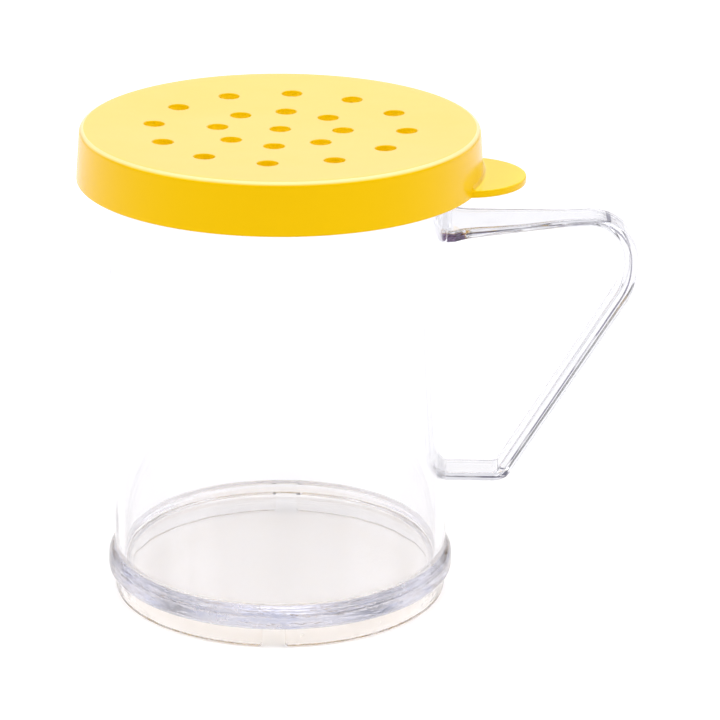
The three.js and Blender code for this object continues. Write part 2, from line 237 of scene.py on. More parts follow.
# Fineness
ROUND_SEGMENTS = 320
HOLE_SEGMENTS = 40
HOLE_EDGE_STEPS = 4
SNAP_STEPS = 8
TAB_COLUMNS = 72
TAB_STEPS = 26
TAB_EDGE_STEPS = 5
TAB_UNDER_STEPS = 4
SUPPORT = 0.25  # a loop this near a curve's end keeps the flat beside it flat
HOLE_SUPPORT = 0.12  # so does a ring of points this far outside a hole
FLAT_SUPPORTS = (0.96, 0.5, 0, -0.5, -0.96)  # and so do lines at these shares of the strap's half width
PLATE_PITCH = 1.6
PLATE_ROW_SHARE = 0.866
PLATE_HOLE_CLEARANCE = 0.5
PLATE_EDGE_CLEARANCE = 1.0
IN_HOLE_SHARE = 0.98  # a triangle with its middle within this share of a hole's radius lies in the hole
SAME_POINT = 1e-6
WELD_DISTANCE = 1e-4
CUP_SPACING = 4.0
SKIRT_SPACING = 2.5
BOUNCES = 64  # a long path inside clear plastic has this many reflections


# Points and curves

def arc(centre, radius, from_angle, to_angle, steps):
    points = []
    for i in range(steps + 1):
        angle = math.radians(from_angle + (to_angle - from_angle) * i / steps)
        points.append((centre[0] + radius * math.cos(angle), centre[1] + radius * math.sin(angle)))
    return points


def circle(centre, radius, segments):
    return arc(centre, radius, 0, 360, segments)[:-1]


def between(start, end, spacing):
    """Points on a straight stretch, without its ends, with a support loop near each end."""
    length = math.dist(start, end)
    if length < 3 * SUPPORT:
        return []
    count = max(1, round((length - 2 * SUPPORT) / spacing))
    shares = [(SUPPORT + (length - 2 * SUPPORT) * i / count) / length for i in range(count + 1)]
    return [tuple(a + (b - a) * share for a, b in zip(start, end)) for share in shares]


def joined(stretches, spacing):
    """Curves and single points, given as lists of points, with straight lines filled in between them."""
    path = []
    for stretch in stretches:
        if path:
            path += between(path[-1], stretch[0], spacing)
            if math.dist(path[-1], stretch[0]) < SAME_POINT:
                path.pop()
        path += stretch
    return path


def smoothstep(value, low, high):
    share = min(max((value - low) / (high - low), 0), 1)
    return share * share * (3 - 2 * share)


def mix(a, b, share):
    return a + (b - a) * share


def wall_radius_at(z):
    share = min(max((z - BEAD_TOP_Z) / CLEAR_WALL_HEIGHT, 0), 1)
    return WALL_RADIUS + WALL_DRAFT * share


def skirt_radius_at(z):
    return LID_TOP_RADIUS + LID_SKIRT_FLARE * (OVERALL_HEIGHT - z) / LID_SKIRT_HEIGHT


# Meshes

def bridge(bm, row, other):
    """Faces between two closed rows of as many points each."""
    for i in range(len(row)):
        j = (i + 1) % len(row)
        bm.faces.new([row[i], row[j], other[j], other[i]])


def lathe(bm, profile):
    """Turns a profile of radius and height round the Z axis. A point on the axis makes a pole."""
    rings = []
    for radius, z in profile:
        count = 1 if radius < SAME_POINT else ROUND_SEGMENTS
        angles = [2 * math.pi * i / ROUND_SEGMENTS for i in range(count)]
        rings.append([bm.verts.new((radius * math.cos(a), radius * math.sin(a), z)) for a in angles])
    for ring, other in zip(rings, rings[1:]):
        for i in range(ROUND_SEGMENTS):
            j = (i + 1) % ROUND_SEGMENTS
            corners = [ring[i % len(ring)], ring[j % len(ring)], other[j % len(other)], other[i % len(other)]]
            bm.faces.new(list(dict.fromkeys(corners)))


def mark_sharp(bm, degrees):
    limit = math.radians(degrees)
    for face in bm.faces:
        face.smooth = True
    for edge in bm.edges:
        edge.smooth = len(edge.link_faces) != 2 or edge.calc_face_angle(0) < limit


def piece(name, bm, material, turn=0.0, sharp=32):
    """Makes an object of a mesh given in millimetres about the cup's axis."""
    bmesh.ops.recalc_face_normals(bm, faces=bm.faces)
    mark_sharp(bm, sharp)
    bm.transform(Matrix.Scale(MM, 4) @ Matrix.Translation((AXIS_X, 0, 0)) @ Matrix.Rotation(turn, 4, "Z"))
    mesh = bpy.data.meshes.new(name)
    bm.to_mesh(mesh)
    bm.free()
    mesh.materials.append(material)
    obj = bpy.data.objects.new(name, mesh)
    bpy.context.scene.collection.objects.link(obj)
    return obj


def cut(bm, cutter):
    """Cuts the solid in cutter out of the one in bm and gives the new mesh."""
    objects = []
    for source in (bm, cutter):
        bmesh.ops.recalc_face_normals(source, faces=source.faces)
        mesh = bpy.data.meshes.new("cutting")
        source.to_mesh(mesh)
        source.free()
        objects.append(bpy.data.objects.new("cutting", mesh))
        bpy.context.scene.collection.objects.link(objects[-1])
    modifier = objects[0].modifiers.new("cut", "BOOLEAN")
    modifier.operation = "DIFFERENCE"
    modifier.solver = "EXACT"
    modifier.object = objects[1]
    graph = bpy.context.evaluated_depsgraph_get()
    result = bmesh.new()
    result.from_mesh(objects[0].evaluated_get(graph).to_mesh())
    for obj in objects:
        mesh = obj.data
        bpy.data.objects.remove(obj)
        bpy.data.meshes.remove(mesh)
    return result


def cup_profile():
    foot_inner = FOOT_RADIUS - FOOT_THICKNESS
    foot_root = (foot_inner - FOOT_ROOT_RADIUS, FOOT_HEIGHT - FOOT_ROOT_RADIUS)
    foot_in, foot_out = foot_inner + FOOT_EDGE_RADIUS, FOOT_RADIUS - FOOT_EDGE_RADIUS
    bead_x = WALL_RADIUS + BEAD_PROUD
    low_bead = (bead_x - BEAD_LOWER_RADIUS, FOOT_HEIGHT + BEAD_LOWER_RADIUS)
    slope = math.degrees(BEAD_SLOPE)
    shoulder = BEAD_PROUD / (1 - math.cos(BEAD_SLOPE)) - BEAD_FILLET_RADIUS
    shoulder_z = BEAD_TOP_Z - (shoulder + BEAD_FILLET_RADIUS) * math.sin(BEAD_SLOPE)
    rim_fillet = (WALL_RADIUS + WALL_DRAFT + RIM_FILLET_RADIUS, RIM_UNDER_Z - RIM_FILLET_RADIUS)
    rim_out, rim_in = RIM_RADIUS - RIM_EDGE_RADIUS, CUP_MOUTH_RADIUS + RIM_EDGE_RADIUS
    rim_low, rim_high = RIM_UNDER_Z + RIM_EDGE_RADIUS, RIM_TOP_Z - RIM_EDGE_RADIUS
    corner = (WALL_RADIUS - WALL_THICKNESS - FLOOR_CORNER_RADIUS, FLOOR_TOP_Z + FLOOR_CORNER_RADIUS)
    return joined([
        [(0, FOOT_HEIGHT)],
        arc(foot_root, FOOT_ROOT_RADIUS, 90, 0, steps=5),
        arc((foot_in, FOOT_EDGE_RADIUS), FOOT_EDGE_RADIUS, 180, 270, steps=6),
        arc((foot_out, FOOT_EDGE_RADIUS), FOOT_EDGE_RADIUS, 270, 360, steps=6),
        [(FOOT_RADIUS, FOOT_HEIGHT)],
        arc(low_bead, BEAD_LOWER_RADIUS, 270, 360, steps=12),
        arc((bead_x - shoulder, shoulder_z), shoulder, 0, slope, steps=14),
        arc((WALL_RADIUS + BEAD_FILLET_RADIUS, BEAD_TOP_Z), BEAD_FILLET_RADIUS, 180 + slope, 180, steps=8),
        arc(rim_fillet, RIM_FILLET_RADIUS, 180, 90, steps=8),
        arc((rim_out, rim_low), RIM_EDGE_RADIUS, 270, 360, steps=6),
        arc((rim_out, rim_high), RIM_EDGE_RADIUS, 0, 90, steps=6),
        arc((rim_in, rim_high), RIM_EDGE_RADIUS, 90, 180, steps=6),
        arc(corner, FLOOR_CORNER_RADIUS, 360, 270, steps=16),
        [(0, FLOOR_TOP_Z)],
    ], CUP_SPACING)


def notch_cutter():
    """A bar along Y whose section is the notch. It reaches below the foot, and rounds the notch's corners."""
    half = NOTCH_WIDTH / 2
    mouth = half + NOTCH_CORNER_RADIUS
    below = -2.0
    past_foot = 5
    outline = [
        (-half, FOOT_HEIGHT),
        *arc((-mouth, NOTCH_CORNER_RADIUS), NOTCH_CORNER_RADIUS, 0, -90, steps=8),
        (-mouth, below),
        (mouth, below),
        *arc((mouth, NOTCH_CORNER_RADIUS), NOTCH_CORNER_RADIUS, 270, 180, steps=8),
        (half, FOOT_HEIGHT),
    ]
    bm = bmesh.new()
    reach = FOOT_RADIUS + past_foot
    near, far = ([bm.verts.new((x, y, z)) for x, z in outline] for y in (-reach, reach))
    bm.faces.new(near)
    bm.faces.new(far)
    bridge(bm, near, far)
    return bm


def make_cup(material):
    bm = bmesh.new()
    lathe(bm, cup_profile())
    return piece("clear_cup", cut(bm, notch_cutter()), material)


# Handle

def fillet(before, corner, after, radius, steps):
    back = (before - corner).normalized()
    ahead = (after - corner).normalized()
    half = math.acos(max(-1, min(1, back.dot(ahead)))) / 2
    centre = corner + (back + ahead).normalized() * (radius / math.sin(half))
    start = corner + back * (radius / math.tan(half))
    end = corner + ahead * (radius / math.tan(half))
    from_angle = math.atan2(start.y - centre.y, start.x - centre.x)
    sweep = math.atan2(end.y - centre.y, end.x - centre.x) - from_angle
    sweep = (sweep + math.pi) % (2 * math.pi) - math.pi
    points = []
    for i in range(steps + 1):
        angle = from_angle + sweep * i / steps
        points.append(centre + radius * Vector((math.cos(angle), math.sin(angle))))
    return points


def straight(start, end, steps):
    return [start.lerp(end, i / steps) for i in range(1, steps)]


def strap_stations():
    """The strap's middle line in X and Z, with each point's part and its share of that part."""
    outer_x = HANDLE_REACH - GRIP_THICKNESS / 2
    start_x = WALL_RADIUS + STRAP_START
    rise = math.tan(ARM_RISE)

    def arm(x):
        return Vector((x, ARM_ROOT_Z + (x - WALL_RADIUS) * rise))

    root, bend = arm(start_x), arm(outer_x)
    knee = Vector((outer_x, bend.y - KNEE_DROP))
    lower = Vector((WALL_RADIUS + FOOT_ARM_LENGTH, FOOT_ARM_Z))
    foot = Vector((start_x, FOOT_ARM_Z))
    lean = math.atan2(knee.x - lower.x, knee.y - lower.y)
    knee_radius = KNEE_LENGTH / math.tan(lean / 2)
    bend_arc = fillet(root, bend, knee, OUTER_BEND_RADIUS, steps=40)
    knee_arc = fillet(bend, knee, lower, knee_radius, steps=20)
    lower_arc = fillet(knee, lower, foot, LOWER_BEND_RADIUS, steps=18)
    parts = [
        ("arm", [root, *straight(root, bend_arc[0], steps=60)]),
        ("bend", bend_arc),
        ("knee", knee_arc[1:]),
        ("grip", straight(knee_arc[-1], lower_arc[0], steps=40)),
        ("lower", lower_arc),
        ("foot", [*straight(lower_arc[-1], foot, steps=12), foot]),
    ]
    stations = []
    for part, points in parts:
        stations += [(part, point, i / (len(points) - 1)) for i, point in enumerate(points)]
    return stations


def flare_at(distance):
    """The flare between its given shares, as one smooth curve."""
    place = min(max(distance / FLARE_LENGTH, 0), 1) * (len(FLARE_SHARES) - 1)
    step = min(int(place), len(FLARE_SHARES) - 2)
    share = place - step
    before, start, end, after = (
        FLARE_SHARES[min(max(step + k, 0), len(FLARE_SHARES) - 1)] for k in (-1, 0, 1, 2))
    if step == 0:
        before = 2 * start - end
    a = 2 * start - 2 * end + (end - before) / 2 + (after - start) / 2
    b = -3 * start + 3 * end - (end - before) - (after - start) / 2
    return ((a * share + b) * share + (end - before) / 2) * share + start


def strap_half_width(part, point, share):
    if part == "arm":
        return GRIP_HALF_WIDTH + (ROOT_HALF_WIDTH - GRIP_HALF_WIDTH) * flare_at(point.x - WALL_RADIUS)
    if part == "lower":
        return mix(GRIP_HALF_WIDTH, FOOT_HALF_WIDTH, smoothstep(share, 0, 1))
    return FOOT_HALF_WIDTH if part == "foot" else GRIP_HALF_WIDTH


def strap_thickness(part, share):
    grip_end = GRIP_THICKNESS * (1 - GRIP_TAPER_SHARE)
    if part == "arm":
        return mix(ROOT_THICKNESS, ARM_THICKNESS, smoothstep(share, 0, ROOT_THINNING_SHARE))
    if part == "bend":
        return mix(ARM_THICKNESS, GRIP_THICKNESS, smoothstep(share, 0, 1))
    if part == "knee":
        return GRIP_THICKNESS
    if part == "grip":
        return mix(GRIP_THICKNESS, grip_end, share)
    if part == "lower":
        return mix(grip_end, FOOT_STRAP_THICKNESS, smoothstep(share, 0, 1))
    return FOOT_STRAP_THICKNESS


def strap_section(half_width, thickness):
    """Rounded rectangle, with support points along its flats and a parting line along each narrow side."""
    radius = min(STRAP_EDGE_RADIUS, thickness * EDGE_RADIUS_SHARE)
    x, y = half_width - radius, thickness / 2 - radius
    corners = [((x, y), 0), ((-x, y), 90), ((-x, -y), 180), ((x, -y), 270)]
    points = []
    for corner, angle in corners:
        points += arc(corner, radius, angle, angle + 90, steps=8)
        side = 1 if angle in (0, 270) else -1
        if angle in (0, 180):
            points += [(side * x * share, side * thickness / 2) for share in FLAT_SUPPORTS]
        else:
            crest = side * (half_width + PARTING_PROUD)
            foot = side * half_width
            points += [(foot, -side * PARTING_HALF_WIDTH), (crest, -side * PARTING_HALF_WIDTH / 3)]
            points += [(crest, side * PARTING_HALF_WIDTH / 3), (foot, side * PARTING_HALF_WIDTH)]
    return points


def make_handle(material):
    stations = strap_stations()
    rows = []
    for i, (part, point, share) in enumerate(stations):
        before = stations[max(i - 1, 0)][1]
        after = stations[min(i + 1, len(stations) - 1)][1]
        along = (after - before).normalized()
        section = strap_section(strap_half_width(part, point, share), strap_thickness(part, share))
        rows.append([Vector((point.x - along.y * y, x, point.y + along.x * y)) for x, y in section])

    def at_wall(row, slope):
        """The row carried on along its own lines to the wall's surface."""
        ends = []
        for corner in row:
            radius = wall_radius_at(corner.z) + SEAM_GAP
            x = math.sqrt(radius * radius - corner.y * corner.y)
            ends.append(Vector((x, corner.y, corner.z + (x - corner.x) * slope)))
        return ends

    rows.insert(0, at_wall(rows[0], math.tan(ARM_RISE)))
    rows.append(at_wall(rows[-1], 0))
    bm = bmesh.new()
    verts = [[bm.verts.new(corner) for corner in row] for row in rows]
    for row, other in zip(verts, verts[1:]):
        bridge(bm, row, other)
    bm.faces.new(verts[0])
    bm.faces.new(verts[-1])
    return piece("strap_handle", bm, material)


# Lid

def hole_centres():
    centres = [(0.0, 0.0)]
    for share, count in ((INNER_RING_SHARE, INNER_RING_COUNT), (OUTER_RING_SHARE, OUTER_RING_COUNT)):
        centres += arc((0, 0), LID_TOP_RADIUS * share, 0, 360 * (count - 1) / count, steps=count - 1)
    return centres


def plate(bm, edge_radius, height_at):
    """One face of the perforated plate: triangles from its edge to its holes."""
    hole_radius = HOLE_RADIUS + HOLE_EDGE_RADIUS
    centres = hole_centres()
    points = circle((0, 0), edge_radius, ROUND_SEGMENTS)
    loops = [range(ROUND_SEGMENTS)]
    for centre in centres:
        first = len(points)
        points += circle(centre, hole_radius, HOLE_SEGMENTS)
        loops.append(range(first, len(points)))
        points += circle(centre, hole_radius + HOLE_SUPPORT, HOLE_SEGMENTS)
    row_height = PLATE_PITCH * PLATE_ROW_SHARE
    rows = int(edge_radius / row_height) + 1
    for i in range(-rows, rows + 1):
        y = i * row_height
        for j in range(-rows - 5, rows + 6):
            x = (j + 0.5 * (i % 2)) * PLATE_PITCH
            clear = all(math.dist((x, y), centre) > hole_radius + PLATE_HOLE_CLEARANCE for centre in centres)
            if clear and math.hypot(x, y) < edge_radius - PLATE_EDGE_CLEARANCE:
                points.append((x, y))
    edges = [(loop[i], loop[(i + 1) % len(loop)]) for loop in loops for i in range(len(loop))]
    flat, _, faces, *_ = delaunay_2d_cdt([Vector(p) for p in points], edges, [], 0, SAME_POINT)
    verts = [bm.verts.new((p.x, p.y, height_at(p.length))) for p in flat]
    for face in faces:
        middle = sum((flat[i] for i in face), Vector((0, 0))) / len(face)
        if all(math.dist(middle, centre) > hole_radius * IN_HOLE_SHARE for centre in centres):
            bm.faces.new([verts[i] for i in face])
    for vert in [v for v in verts if not v.link_faces]:
        bm.verts.remove(vert)


def hole_wall(bm, centre, top_at, under_at):
    """The wall of one hole, with its upper and lower edges rounded."""
    edge = HOLE_EDGE_RADIUS
    rings = []
    for i in range(HOLE_EDGE_STEPS + 1):
        angle = math.radians(90 * i / HOLE_EDGE_STEPS)
        rings.append((HOLE_RADIUS + edge * (1 - math.sin(angle)), top_at, -edge * (1 - math.cos(angle))))
    for share in (0.33, 0.66):
        rings.append((HOLE_RADIUS, top_at, -LID_PLATE_THICKNESS * share))
    for i in range(HOLE_EDGE_STEPS + 1):
        angle = math.radians(90 * i / HOLE_EDGE_STEPS)
        rings.append((HOLE_RADIUS + edge * (1 - math.cos(angle)), under_at, edge * (1 - math.sin(angle))))
    rows = []
    for radius, height_at, offset in rings:
        row = []
        for x, y in circle(centre, radius, HOLE_SEGMENTS):
            row.append(bm.verts.new((x, y, height_at(math.hypot(x, y)) + offset)))
        rows.append(row)
    for row, other in zip(rows, rows[1:]):
        bridge(bm, row, other)


def lid_profile():
    """From the edge of the flat top down the skirt and back up to the inner edge of the seat."""
    def inner_at(z):
        return skirt_radius_at(z) - LID_SKIRT_THICKNESS

    lip = SKIRT_LIP_RADIUS
    snap_top = RIM_UNDER_Z - SNAP_BEAD_DROP
    snap_bottom = snap_top - SNAP_BEAD_HEIGHT
    snap = []
    for i in range(SNAP_STEPS + 1):
        share = i / SNAP_STEPS
        z = mix(snap_bottom, snap_top, share)
        snap.append((inner_at(z) - SNAP_BEAD_PROUD * math.sin(math.pi * share), z))
    return joined([
        arc((LID_FLAT_RADIUS, OVERALL_HEIGHT - LID_EDGE_RADIUS), LID_EDGE_RADIUS, 90, 4, steps=10),
        arc((LID_SKIRT_RADIUS - lip, SKIRT_BOTTOM_Z + lip), lip, 0, -90, steps=5),
        arc((inner_at(SKIRT_BOTTOM_Z) + lip, SKIRT_BOTTOM_Z + lip), lip, 270, 180, steps=5),
        snap,
        arc((inner_at(SEAT_Z) - lip, SEAT_Z - lip), lip, 0, 90, steps=5),
        [(LID_SEAT_INNER, SEAT_Z)],
    ], SKIRT_SPACING)


def make_tab(bm):
    """The tab: its outer edge is an arc, its root lies in the skirt, and it blends up into the skirt."""
    centre = LID_SKIRT_RADIUS + TAB_PROUD - TAB_END_RADIUS
    root = LID_SKIRT_RADIUS - LID_SKIRT_THICKNESS / 2
    corner_x = (centre ** 2 + root ** 2 - TAB_END_RADIUS ** 2) / (2 * centre)
    corner_y = math.sqrt(root ** 2 - corner_x ** 2)
    end_angle = math.atan2(corner_y, corner_x - centre)
    root_angle = math.atan2(corner_y, corner_x)
    edge = TAB_EDGE_RADIUS
    top_z = SKIRT_BOTTOM_Z + TAB_THICKNESS
    right_angles = [math.radians(90 * j / TAB_EDGE_STEPS) for j in range(TAB_EDGE_STEPS + 1)]

    def blend(x, y):
        """How far the tab's top rises beside the skirt."""
        gap = math.hypot(x, y) - skirt_radius_at(top_z)
        if gap >= TAB_ROOT_RADIUS:
            return 0.0
        rest = TAB_ROOT_RADIUS - max(gap, 0)
        return TAB_ROOT_RADIUS - math.sqrt(max(TAB_ROOT_RADIUS ** 2 - rest ** 2, 0))

    grid = []
    for i in range(TAB_COLUMNS + 1):
        side = 2 * i / TAB_COLUMNS - 1
        inner = Vector((root * math.cos(root_angle * side), root * math.sin(root_angle * side)))
        outward = Vector((math.cos(end_angle * side), math.sin(end_angle * side)))
        outer = Vector((centre, 0)) + outward * (TAB_END_RADIUS - edge)
        column = []
        for j in range(TAB_STEPS + 1):
            p = inner.lerp(outer, j / TAB_STEPS)
            column.append((p.x, p.y, top_z + blend(p.x, p.y)))
        for angle in right_angles[1:]:
            p = outer + outward * edge * math.sin(angle)
            column.append((p.x, p.y, top_z - edge * (1 - math.cos(angle))))
        for angle in right_angles:
            p = outer + outward * edge * math.cos(angle)
            column.append((p.x, p.y, SKIRT_BOTTOM_Z + edge * (1 - math.sin(angle))))
        for j in range(1, TAB_UNDER_STEPS + 1):
            p = outer.lerp(inner, j / TAB_UNDER_STEPS)
            column.append((p.x, p.y, SKIRT_BOTTOM_Z))
        grid.append([bm.verts.new(p) for p in column])
    for column, other in zip(grid, grid[1:]):
        bridge(bm, column, other)
    bm.faces.new(grid[0])
    bm.faces.new(grid[-1])


def make_lid(material):
    def top_at(radius):
        return OVERALL_HEIGHT - LID_DISH * (1 - min(radius / LID_FLAT_RADIUS, 1) ** 2)

    def under_at(radius):
        return SEAT_Z - LID_DISH * (1 - min(radius / LID_SEAT_INNER, 1) ** 2)

    bm = bmesh.new()
    plate(bm, LID_FLAT_RADIUS, top_at)
    plate(bm, LID_SEAT_INNER, under_at)
    for centre in hole_centres():
        hole_wall(bm, centre, top_at, under_at)
    lathe(bm, lid_profile())
    bmesh.ops.remove_doubles(bm, verts=bm.verts, dist=WELD_DISTANCE)
    bmesh.ops.recalc_face_normals(bm, faces=bm.faces)
    make_tab(bm)
    return piece("perforated_lid", bm, material, turn=LID_TURN, sharp=40)


# Materials

class Graph:
    """A tree of shader nodes, with a function for each kind of node that the looks are made of."""

    def __init__(self, tree):
        self.nodes = tree.nodes
        self.links = tree.links

    def feed(self, inputs, values):
        """Gives each input its value, or links it where the value is another node's output."""
        for name, value in values.items():
            if isinstance(value, bpy.types.NodeSocket):
                self.links.new(value, inputs[name])
            else:
                inputs[name].default_value = value

    def add(self, kind, values, output):
        node = self.nodes.new(kind)
        self.feed(node.inputs, values)
        return node.outputs[output]

    def axes(self, vector):
        node = self.nodes.new("ShaderNodeSeparateXYZ")
        self.feed(node.inputs, {"Vector": vector})
        return node.outputs

    def noise(self, coordinates, scale, detail=2.0, roughness=0.5, stretch=(1, 1, 1)):
        """Noise whose scale is in features per metre."""
        vector = self.add("ShaderNodeMapping", {"Vector": coordinates, "Scale": stretch}, "Vector")
        values = {"Vector": vector, "Scale": scale, "Detail": detail, "Roughness": roughness}
        return self.add("ShaderNodeTexNoise", values, "Fac")

    def ranged(self, value, low, high, new_low=0.0, new_high=1.0, curve="LINEAR"):
        node = self.nodes.new("ShaderNodeMapRange")
        node.interpolation_type = curve
        ends = {"From Min": low, "From Max": high, "To Min": new_low, "To Max": new_high}
        self.feed(node.inputs, {"Value": value, **ends})
        return node.outputs["Result"]

    def beyond(self, length, start, end):
        """Goes from 0 to 1 as a length in metres goes from start to end, which are in millimetres."""
        return self.ranged(length, start * MM, end * MM)

    def combined(self, operation, first, second=0.0):
        node = self.nodes.new("ShaderNodeMath")
        node.operation = operation
        self.feed(node.inputs, {0: first, 1: second})
        return node.outputs["Value"]

    def product(self, first, *others):
        for other in others:
            first = self.combined("MULTIPLY", first, other)
        return first

    def vector(self, operation, first, second, output):
        node = self.nodes.new("ShaderNodeVectorMath")
        node.operation = operation
        self.feed(node.inputs, {0: first, 1: second})
        return node.outputs[output]

    def from_axis(self, place):
        """How far a point is from the cup's axis."""
        offset = self.vector("SUBTRACT", place, (AXIS_X * MM, 0, 0), "Vector")
        level = self.vector("MULTIPLY", offset, (1, 1, 0), "Vector")
        return self.vector("LENGTH", level, (0, 0, 0), "Value")

    def bumped(self, height, distance, strength, **normal):
        values = {"Height": height, "Distance": distance, "Strength": strength, **normal}
        return self.add("ShaderNodeBump", values, "Normal")

    def blended(self, share, first, second):
        """A colour that goes from the first to the second as the share goes from 0 to 1."""
        ramp = self.nodes.new("ShaderNodeValToRGB")
        for element, colour in zip(ramp.color_ramp.elements, (first, second)):
            element.color = (*colour, 1)
        self.feed(ramp.inputs, {"Fac": share})
        return ramp.outputs["Color"]

    def mixed(self, share, first, second):
        """Goes from the first colour output to the second as the share goes from 0 to 1."""
        node = self.nodes.new("ShaderNodeMix")
        node.data_type = "RGBA"
        self.feed(node.inputs, {"Factor": share, "A": first, "B": second})
        return node.outputs["Result"]


def new_material(name):
    """A material with its graph, the surface's inputs and the object's own coordinates."""
    material = bpy.data.materials.new(name)
    material.use_nodes = True
    graph = Graph(material.node_tree)
    place = graph.add("ShaderNodeTexCoord", {}, "Object")
    return material, graph, graph.nodes["Principled BSDF"].inputs, place


def clear_plastic(name, density):
    """Water-clear plastic with a faint lavender depth, moulding flow and a little haze."""
    material, graph, surface, place = new_material(name)
    graph.feed(surface, {"Transmission Weight": 1.0, "IOR": CLEAR_IOR})
    depth = graph.add("ShaderNodeVolumeAbsorption", {"Color": DEPTH_COLOUR, "Density": density}, "Volume")
    graph.feed(graph.nodes["Material Output"].inputs, {"Volume": depth})
    haze = graph.ranged(graph.noise(place, scale=60, detail=4), 0.35, 0.75, 0.0, HAZE_ROUGHNESS)
    flow = graph.noise(place, scale=90, detail=1, stretch=(1, 1, 0.35))
    smooth = graph.bumped(flow, distance=0.0004, strength=0.12)
    return material, graph, surface, place, haze, smooth


def cup_plastic():
    """The cup's plastic: the wall has its own tint; the tan of floor and foot is painted shade of the table
    beneath, the foot's tint also paints the bead darker, and the bead carries painted refraction streaks and
    is rubbed.
    """
    material, graph, surface, place, haze, smooth = clear_plastic("clear_plastic_cup", CUP_DENSITY)
    axes = graph.axes(place)
    reach = graph.from_axis(place)
    low = graph.beyond(axes["Z"], *LOW_Z)
    slab = graph.product(graph.beyond(reach, *SLAB_REACH), graph.beyond(axes["Z"], *SLAB_Z))
    outside = graph.product(
        graph.beyond(reach, *OUTSIDE_REACH),
        graph.beyond(axes["Z"], *OUTSIDE_Z),
        graph.beyond(axes["Y"], *OUTSIDE_Y),
    )
    # Painted refraction streaks: blue patches on the outside of the bead.
    stripes = graph.noise(place, scale=260, detail=4, roughness=0.65, stretch=(0.6, 0.6, 2.6))
    refraction_streaks = graph.product(graph.ranged(stripes, 0.5, 0.62), outside, graph.beyond(axes["Z"], *REFRACTION_STREAK_Z))
    bloom = graph.ranged(graph.noise(place, scale=25, detail=2), 0.35, 0.65)
    foot = graph.blended(refraction_streaks, FOOT_SHADE_TINT, REFRACTION_STREAK_TINT)
    # Painted shade: the floor slab and the foot are tinted tan like the shaded table beneath them.
    base = graph.mixed(slab, foot, graph.blended(bloom, *FLOOR_SHADE_TINTS))
    rubbing = graph.noise(place, scale=170, detail=4, roughness=0.7)
    rubs = graph.product(graph.ranged(rubbing, 0.45, 0.65, 0.0, RUB_ROUGHNESS), outside)
    ripple = graph.product(graph.noise(place, scale=320, detail=3, stretch=(0.6, 0.6, 2.2)), outside)
    graph.feed(surface, {
        "Base Color": graph.mixed(low, graph.blended(bloom, *WALL_TINTS), base),
        "Roughness": graph.combined("ADD", haze, rubs),
        "Normal": graph.bumped(ripple, distance=0.0003, strength=0.5, Normal=smooth),
    })
    return material


def handle_plastic():
    """The handle's plastic: a painted dark reflection runs along its parting line, and a painted dark
    refraction patch lies at one corner of the bonded root.
    """
    material, graph, surface, place, haze, smooth = clear_plastic("clear_plastic_handle", HANDLE_DENSITY)
    axes = graph.axes(place)

    def out_at(start, end):
        """A share of the way out along X, between two distances from the cup's axis."""
        return graph.beyond(axes["X"], start + AXIS_X, end + AXIS_X)

    def level_line(height):
        off = graph.combined("ABSOLUTE", height)
        return graph.beyond(off, PARTING_HALF_WIDTH, PARTING_HALF_WIDTH * PARTING_CORE_SHARE)

    climb = graph.combined("MULTIPLY", axes["X"], -math.tan(ARM_RISE))
    climb = graph.combined("ADD", axes["Z"], climb)
    root_height = (ARM_ROOT_Z - (WALL_RADIUS + AXIS_X) * math.tan(ARM_RISE)) * MM
    arm_line = level_line(graph.combined("SUBTRACT", climb, root_height))
    foot_line = level_line(graph.combined("SUBTRACT", axes["Z"], FOOT_ARM_Z * MM))
    crest = GRIP_HALF_WIDTH + PARTING_PROUD / 2
    grip_line = graph.product(
        graph.beyond(graph.combined("ABSOLUTE", axes["Y"]), crest, crest + CREST_SOFTNESS),
        graph.beyond(axes["Z"], *ABOVE_FOOT_Z),
        graph.combined("MAXIMUM", out_at(*BEND_X), graph.beyond(axes["Z"], *UNDER_ARM_Z)),
    )
    # Where the painted dark reflection runs along the parting line.
    line = graph.combined("MAXIMUM", arm_line, graph.combined("MAXIMUM", foot_line, grip_line))
    line = graph.product(line, graph.ranged(graph.noise(place, scale=130, detail=3), 0.35, 0.6, 0.35, 1.0))
    # A painted dark refraction patch at one corner of the root.
    corner = graph.product(
        graph.beyond(axes["Y"], *ROOT_REFRACTION_Y),
        out_at(*ROOT_REFRACTION_X),
        graph.beyond(axes["Z"], *ROOT_REFRACTION_Z),
    )
    fringe = graph.ranged(graph.noise(place, scale=700, detail=3), 0.3, 0.7, -0.3, 0.3)
    root_refraction = graph.ranged(graph.combined("ADD", corner, fringe), 0.1, 0.6)
    root_refraction = graph.product(root_refraction, graph.ranged(corner, 0.0, 0.05))
    strap_and_parting_line = graph.blended(line, STRAP_TINT, PARTING_DARK_REFLECTION)
    root_refraction_colour = graph.blended(root_refraction, ROOT_REFRACTION_RIM, ROOT_REFRACTION_CORE)
    graph.feed(surface, {
        "Base Color": graph.mixed(graph.ranged(root_refraction, 0.05, 0.3), strap_and_parting_line, root_refraction_colour),
        "Roughness": haze,
        "Normal": smooth,
    })
    return material


